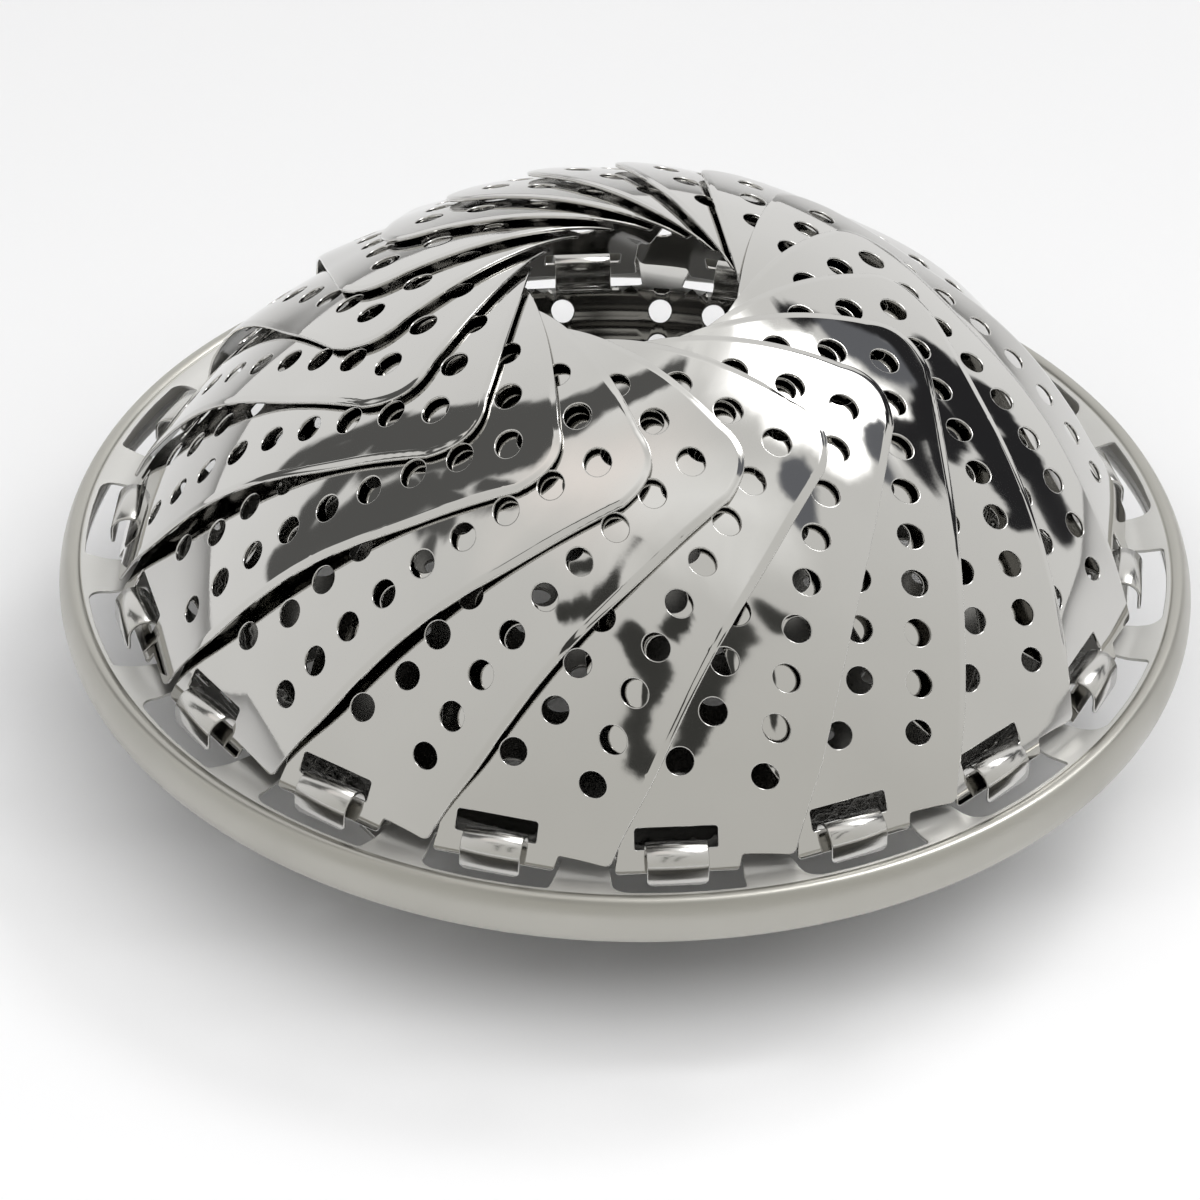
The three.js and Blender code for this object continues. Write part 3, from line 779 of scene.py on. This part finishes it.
hook_verts, hook_faces = hook_mesh()
all_verts, all_faces = [], []
for i in range(PETALS):
    turn = Matrix.Rotation(FRONT + i * PITCH, 3, "Z")
    base = len(all_verts)
    all_verts += [turn @ v for v in hook_verts]
    all_faces += [tuple(base + k for k in face) for face in hook_faces]
hooks = mesh_object("dish_hooks", all_verts, all_faces)
dress(hooks, "base", "dish", "satin_steel", BENT)


# Legs, brackets, pins, rivets, bush and nut

def bevelled(obj, width):
    mod = obj.modifiers.new("edges", "BEVEL")
    mod.width = width * MM
    mod.segments = 2
    mod.limit_method = "ANGLE"
    mod.angle_limit = EDGE_ANGLE
    mod.harden_normals = True
    return obj


def extruded(name, loop, width, bevel):
    """A closed (x, z) loop, as wide as given along y, with bevelled edges."""
    verts = [Vector((p.x, -width / 2, p.y)) for p in loop] + [Vector((p.x, width / 2, p.y)) for p in loop]
    n = len(loop)
    faces = [tuple(range(n))[::-1], tuple(range(n, 2 * n))]
    faces += [(k, (k + 1) % n, n + (k + 1) % n, n + k) for k in range(n)]
    area = sum(loop[k].x * loop[(k + 1) % n].y - loop[(k + 1) % n].x * loop[k].y for k in range(n))
    if area > 0:
        faces = [f[::-1] for f in faces]
    return bevelled(mesh_object(name, verts, faces), bevel)


def leg_frame(i, radius=LEG_RADIUS, height=PIN_HEIGHT):
    """Where a leg's pieces stand, with x outwards and y along the pin."""
    angle = math.pi / 2 + i * 2 * math.pi / LEGS
    return Matrix.Rotation(angle, 4, "Z") @ Matrix.Translation(Vector((radius, 0, height)) * MM)


def leg_loop():
    """The leg's strip seen from its side: the eye, the straight and the foot."""
    sole = LEG_SHEET / 2 - PIN_HEIGHT
    line = arc(0, 0, EYE_RADIUS, math.radians(-108), math.pi, 28)
    line.append(Vector((-EYE_RADIUS, sole + 2.2)))
    line += arc(-EYE_RADIUS + 1.0, sole + 1.0, 1.0, math.pi, 1.5 * math.pi, 6)
    line.append(Vector((-EYE_RADIUS + 5.2, sole)))
    near, far = strip_line(line, LEG_SHEET)
    return near + far[::-1]


def bracket_piece(name):
    """A plate under the floor with two ears for the pin."""
    inner = LEG_WIDTH / 2 + LEG_GAP
    outer = inner + LEG_SHEET
    top, under = BRACKET_TOP - PIN_HEIGHT, BRACKET_UNDER - PIN_HEIGHT
    verts, faces = [], []
    ear = rounded([(-4.0, top, 0.5), (-4.0, -1.9, 1.6), (2.1, -1.9, 1.9), (2.1, top, 0.4)], 6)
    plate = rounded([(-4.0, -outer + 0.1, 0.2), (2.2, -outer + 0.1, 0.4), (3.4, -inner, 0.4), (11.0, -inner, 2.0),
                     (11.0, inner, 2.0), (3.4, inner, 0.4), (2.2, outer - 0.1, 0.4), (-4.0, outer - 0.1, 0.2)], 6)

    def slab(loop, place, depth):
        base = len(verts)
        n = len(loop)
        for p in loop:
            verts.append(place(p, 0.0))
        for p in loop:
            verts.append(place(p, depth))
        faces.append(tuple(base + k for k in range(n))[::-1])
        faces.append(tuple(base + n + k for k in range(n)))
        for k in range(n):
            j = (k + 1) % n
            faces.append((base + k, base + j, base + n + j, base + n + k))

    slab(plate, lambda p, d: Vector((p.x, p.y, under + d)), LEG_SHEET)
    slab(ear[::-1], lambda p, d: Vector((p.x, -outer + d, p.y)), LEG_SHEET)
    slab(ear[::-1], lambda p, d: Vector((p.x, inner + d, p.y)), LEG_SHEET)
    return bevelled(mesh_object(name, verts, faces), 0.12)


def pin_profile():
    """A pin with a domed head at both ends."""
    shank = LEG_WIDTH / 2 + LEG_GAP + LEG_SHEET + SEAT_GAP
    half = [(1.0, 0.0), (1.0, shank - 0.02), (1.55, shank), (1.7, shank + 0.12), (1.66, shank + 0.38),
            (1.3, shank + 0.62), (0.7, shank + 0.69), (0.0, shank + 0.7)]
    return [(r, -z) for r, z in half[::-1]] + half[1:]


def rivet_profile():
    """A rivet with a dome over the floor and one under the bracket."""
    upper, lower = FLOOR_TOP + SEAT_GAP, BRACKET_UNDER - SEAT_GAP
    dome = [(1.2, 0.0), (2.0, 0.0), (2.2, 0.08), (2.12, 0.32), (1.75, 0.62), (1.1, 0.83), (0.0, 0.9)]
    return [(r, lower - z) for r, z in dome[::-1]] + [(r, upper + z) for r, z in dome]


def bush_profile():
    """The bush, with its collar on the floor and a threaded bore."""
    seat = FLOOR_TOP + SEAT_GAP
    outer = [(2.4, seat - 6.0), (3.4, seat - 6.0), (3.6, seat - 5.8), (3.6, seat), (5.8, seat), (6.0, seat + 0.15),
             (5.75, seat + 0.45), (4.2, seat + 1.3), (3.6, seat + 1.4), (2.7, seat + 1.4)]
    bore = []
    turns = 10
    for k in range(turns + 1):
        z = seat + 1.15 - (7.0 * k) / turns
        bore += [(2.42, z), (2.62, z - 0.3)]
    return outer + bore + [(2.4, seat - 6.0)]


def hex_nut(name):
    """A nut with chamfered corners, under the floor."""
    seat = FLOOR_UNDER - SEAT_GAP
    verts, faces, rows = [], [], []
    sides = 48

    def hexagon(angle, radius):
        a = (angle % (math.pi / 3)) - math.pi / 6
        return radius * math.cos(math.pi / 6) / math.cos(a)

    low = seat - 2.6
    rings = [("in", 3.9, low + 0.02), ("in", 4.1, low), ("mid", 5.1, low), ("hex", 5.95, low + 0.32),
             ("hex", 6.0, seat - 0.32), ("mid", 5.1, seat), ("in", 4.1, seat), ("in", 3.9, seat - 0.02)]
    for kind, radius, z in rings:
        row = []
        for k in range(sides):
            a = 2 * math.pi * k / sides
            r = hexagon(a, radius) if kind == "hex" else radius
            verts.append(Vector((r * math.cos(a), r * math.sin(a), z)))
            row.append(len(verts) - 1)
        rows.append(row)
    for a, b in zip(rows, rows[1:] + rows[:1]):
        for k in range(sides):
            j = (k + 1) % sides
            faces.append((a[k], a[j], b[j], b[k]))
    obj = mesh_object(name, verts, faces)
    obj.data.polygons.foreach_set("use_smooth", [False] * len(obj.data.polygons))
    return obj


for i in range(LEGS):
    n = i + 1
    leg = extruded(f"leg_{n}_strip", leg_loop(), LEG_WIDTH, 0.15)
    leg.matrix_world = leg_frame(i)
    dress(leg, f"leg_{n}", f"leg_{n}", "satin_steel", SOFT)
    bracket = bracket_piece(f"leg_bracket_{n}_plate")
    bracket.matrix_world = leg_frame(i)
    dress(bracket, "base", f"leg_bracket_{n}", "satin_steel", SOFT)
    pin = turned(f"leg_pin_{n}_round", pin_profile(), 28)
    pin.matrix_world = leg_frame(i) @ Matrix.Rotation(math.pi / 2, 4, "X")
    dress(pin, "base", f"leg_pin_{n}", "turned_steel", TURNED)
    rivet = turned(f"leg_rivet_{n}_round", rivet_profile(), 28)
    rivet.matrix_world = leg_frame(i, LEG_RADIUS + RIVET_OUT, 0)
    dress(rivet, "base", f"leg_rivet_{n}", "turned_steel", TURNED)

bush = turned("centre_bush_turned", bush_profile(), 48)
dress(bush, "base", "centre_bush", "turned_steel", TURNED)
nut = hex_nut("bush_nut_hex")
dress(nut, "base", "bush_nut", "turned_steel", TURNED)


# Floor, light and camera

def plain(name, colour, rough):
    mat, nodes, links, shader = new_material(name)
    shader.inputs["Base Color"].default_value = (*colour, 1)
    shader.inputs["Roughness"].default_value = rough
    return mat


floor_mesh = bpy.data.meshes.new("floor")
floor_mesh.from_pydata([(-6, -6, 0), (6, -6, 0), (6, 6, 0), (-6, 6, 0)], [], [(0, 1, 2, 3)])
floor = bpy.data.objects.new("floor", floor_mesh)
bpy.context.scene.collection.objects.link(floor)
floor.data.materials.append(plain("floor", (0.92, 0.92, 0.925), 0.7))


def direction(azimuth, elevation):
    """A unit vector; azimuth 0 is towards -Y, where the camera stands, and 90 towards +X."""
    a, e = math.radians(azimuth), math.radians(elevation)
    return Vector((math.sin(a) * math.cos(e), -math.cos(a) * math.cos(e), math.sin(e)))


def area(name, azimuth, elevation, distance, size, power):
    data = bpy.data.lights.new(name, "AREA")
    data.shape = "RECTANGLE"
    data.size, data.size_y = size
    data.energy = power
    lamp = bpy.data.objects.new(name, data)
    bpy.context.scene.collection.objects.link(lamp)
    back = direction(azimuth, elevation)
    lamp.location = back * distance + Vector((0, 0, 0.04))
    lamp.rotation_mode = "QUATERNION"
    lamp.rotation_quaternion = back.to_track_quat("Z", "Y")
    return lamp


area("key", 113, 61, 1.5, (0.46, 0.40), 3.0)
fill = area("fill", 0, 60, 1.7, (2.5, 1.1), 35.0)
fill.visible_glossy = False

# The studio round the part. Places are in degrees from straight up: x to the right, y towards the camera.
# Each shade is (colour, softness, strokes), and a stroke is (x0, y0, x1, y1, half width).
SKY_SWAY = (6, 6, 0)
SKY_STRENGTH = 1.3
FRONT_TONE = (0.56, 0.555, 0.53)
BACK_TONE = (0.80, 0.80, 0.80)
BACKDROP = (0.73, 0.73, 0.73)
DIFFUSE_CUT = -0.88
world = bpy.data.worlds.new("studio")
bpy.context.scene.world = world
world.use_nodes = True
tree = world.node_tree
sky_nodes, sky_links = tree.nodes, tree.links


def sky_math(operation, a, b=None, c=None):
    node = sky_nodes.new("ShaderNodeMath")
    node.operation = operation
    for socket, value in zip(node.inputs, (a, b, c)):
        if value is None:
            continue
        if hasattr(value, "links"):
            sky_links.new(value, socket)
        else:
            socket.default_value = value
    return node.outputs[0]


def sky_vector(operation, a, b=None, scale=None):
    node = sky_nodes.new("ShaderNodeVectorMath")
    node.operation = operation
    for socket, value in zip(node.inputs, (a, b)):
        if value is None:
            continue
        if hasattr(value, "links"):
            sky_links.new(value, socket)
        else:
            socket.default_value = value
    if scale is not None:
        sky_links.new(scale, node.inputs["Scale"])
    return node.outputs["Value"] if operation in ("LENGTH", "DOT_PRODUCT", "DISTANCE") else node.outputs[0]


where = sky_nodes.new("ShaderNodeTexCoord").outputs["Generated"]
flat = sky_vector("NORMALIZE", sky_vector("MULTIPLY", where, (1, -1, 0)))
apart = sky_nodes.new("ShaderNodeSeparateXYZ")
sky_links.new(where, apart.inputs[0])
steep = sky_math("MULTIPLY", sky_math("ARCCOSINE", apart.outputs["Z"]), 180 / math.pi)
plain_place = sky_vector("SCALE", flat, scale=steep)
ragged = sky_nodes.new("ShaderNodeTexNoise")
ragged.inputs["Scale"].default_value = 0.13
ragged.inputs["Detail"].default_value = 3.0
sky_links.new(plain_place, ragged.inputs["Vector"])
sway = sky_vector("MULTIPLY", sky_vector("SUBTRACT", ragged.outputs["Color"], (0.5, 0.5, 0.5)), SKY_SWAY)
place = sky_vector("ADD", plain_place, sway)


def stroke_distance(x0, y0, x1, y1, wide, at):
    """How far a sky place lies outside a thick stroke."""
    span = Vector((x1 - x0, y1 - y0, 0))
    off = sky_vector("SUBTRACT", at, (x0, y0, 0))
    share = sky_math("DIVIDE", sky_vector("DOT_PRODUCT", off, tuple(span)), max(span.length_squared, 1e-6))
    clamp = sky_nodes.new("ShaderNodeClamp")
    sky_links.new(share, clamp.inputs["Value"])
    near = sky_nodes.new("ShaderNodeVectorMath")
    near.operation = "SCALE"
    near.inputs[0].default_value = tuple(span)
    sky_links.new(clamp.outputs[0], near.inputs["Scale"])
    return sky_math("SUBTRACT", sky_vector("DISTANCE", off, near.outputs[0]), wide)


def shade_mask(strokes, soft, at):
    """1 inside any of the strokes, 0 outside, with a soft edge."""
    nearest = None
    for stroke in strokes:
        d = stroke_distance(*stroke, at)
        nearest = d if nearest is None else sky_math("MINIMUM", nearest, d)
    ramp = sky_nodes.new("ShaderNodeMapRange")
    ramp.interpolation_type = "SMOOTHSTEP"
    ramp.inputs["From Min"].default_value = -soft
    ramp.inputs["From Max"].default_value = soft
    ramp.inputs["To Min"].default_value = 1.0
    ramp.inputs["To Max"].default_value = 0.0
    sky_links.new(nearest, ramp.inputs["Value"])
    return ramp.outputs["Result"]


def mixed(factor, a, b):
    node = sky_nodes.new("ShaderNodeMix")
    node.data_type = "RGBA"
    sky_links.new(factor, node.inputs["Factor"])
    for socket, value in (("A", a), ("B", b)):
        if hasattr(value, "links"):
            sky_links.new(value, node.inputs[socket])
        else:
            node.inputs[socket].default_value = (*value, 1)
    return node.outputs["Result"]


# The room is brighter at the back than at the front
front_back = sky_nodes.new("ShaderNodeSeparateXYZ")
sky_links.new(plain_place, front_back.inputs[0])
rear = sky_nodes.new("ShaderNodeMapRange")
rear.inputs["From Min"].default_value = 60.0
rear.inputs["From Max"].default_value = -60.0
sky_links.new(front_back.outputs["Y"], rear.inputs["Value"])
sky = mixed(rear.outputs["Result"], FRONT_TONE, BACK_TONE)
BRIGHT = [
    ((0.95, 0.90, 0.87), 9.0, [(-20, -2, -6, 4, 7)]),
    ((0.90, 0.90, 0.89), 7.0, [(-4, 8, 16, 12, 6), (-10, -16, 10, -22, 5)]),
    ((1.6, 1.6, 1.6), 5.0, [(10, -12, 16, -12, 4)]),
    ((4.0, 4.0, 4.0), 3.2, [(16, -13, 38, -15, 5.4), (21, -6, 34, -5, 4), (30, -19, 43, -20, 2.4)]),
]
for colour, soft, strokes in BRIGHT:
    sky = mixed(shade_mask(strokes, soft, place), sky, colour)
DARK = [
    ((0.10, 0.10, 0.098), 0.8, [
        (-40, -30, -30, -22, 6), (-36, -22, -20, -17, 6), (-22, -20, -6, -16, 3.5), (-44, -38, -36, -26, 4),
        (-56, -38, -46, -36, 3.5), (-48, -44, -40, -36, 2.5), (-36, -14, -26, -11, 4), (-33, -8, -30, -3, 1.6),
        (-64, -40, -48, -24, 3.2), (-48, -24, -42, -14, 4), (-41, -12, -38, -8, 2.6), (-42, -8, -43, -6, 1.5),
    ]),
    ((0.022, 0.022, 0.024), 0.7, [
        (27, -26, 37, -33, 2.2), (37, -33, 45, -37, 2.6), (45, -37, 51, -31, 3), (51, -31, 51, -20, 3.4),
        (50, -20, 47, -15, 3), (53, -46, 57, -30, 3.4), (57, -30, 66, -11, 3.2), (57, -47, 67, -37, 3.2),
        (67, -36, 77, -34, 4.2),
    ]),
    ((0.14, 0.145, 0.16), 0.9, [(36, -28, 44, -30, 4), (24, 5.5, 25, 6.5, 3.6), (41, -11, 41, -8, 3)]),
    ((0.045, 0.045, 0.042), 0.6, [
        (-15, 31, -14, 38, 3.2), (-14, 38, -20, 50, 2.2), (-20, 50, -20, 57, 2.2), (-7.5, 30, -2.5, 25, 1.8),
        (13, 31, 15, 33, 2.4), (8, 36, 4, 45, 2.6), (4, 45, 1.5, 58, 2.4),
        (-24, 17, -8, 17.5, 1.6),
    ]),
]
for colour, soft, strokes in DARK:
    sky = mixed(shade_mask(strokes, soft, place), sky, colour)
rays = sky_nodes.new("ShaderNodeLightPath")
share = sky_math("MULTIPLY_ADD", rays.outputs["Is Diffuse Ray"], DIFFUSE_CUT, 1.0)
spread = sky_vector("SCALE", sky, scale=share)
seen = mixed(rays.outputs["Is Camera Ray"], spread, BACKDROP)
sky_links.new(seen, sky_nodes["Background"].inputs["Color"])
sky_nodes["Background"].inputs["Strength"].default_value = SKY_STRENGTH

camera_data = bpy.data.cameras.new("camera")
camera = bpy.data.objects.new("camera", camera_data)
bpy.context.scene.collection.objects.link(camera)
camera_data.sensor_width = 36.0
camera_data.lens = FOCAL_PIXELS / PHOTO_WIDTH * camera_data.sensor_width
camera_data.shift_x = SHIFT_PIXELS[0] / PHOTO_WIDTH
camera_data.shift_y = SHIFT_PIXELS[1] / PHOTO_WIDTH
camera_data.clip_start, camera_data.clip_end = 0.05, 40.0
view_back = direction(CAMERA_AZIMUTH, CAMERA_ELEVATION)
camera.location = view_back * CAMERA_DISTANCE + Vector((0, 0, CAMERA_AIM))
camera.rotation_mode = "QUATERNION"
look = (-view_back).to_track_quat("-Z", "Y")
camera.rotation_quaternion = look @ Matrix.Rotation(math.radians(CAMERA_ROLL), 4, "Z").to_quaternion()
bpy.context.scene.camera = camera
bpy.context.scene.view_settings.view_transform = "Standard"
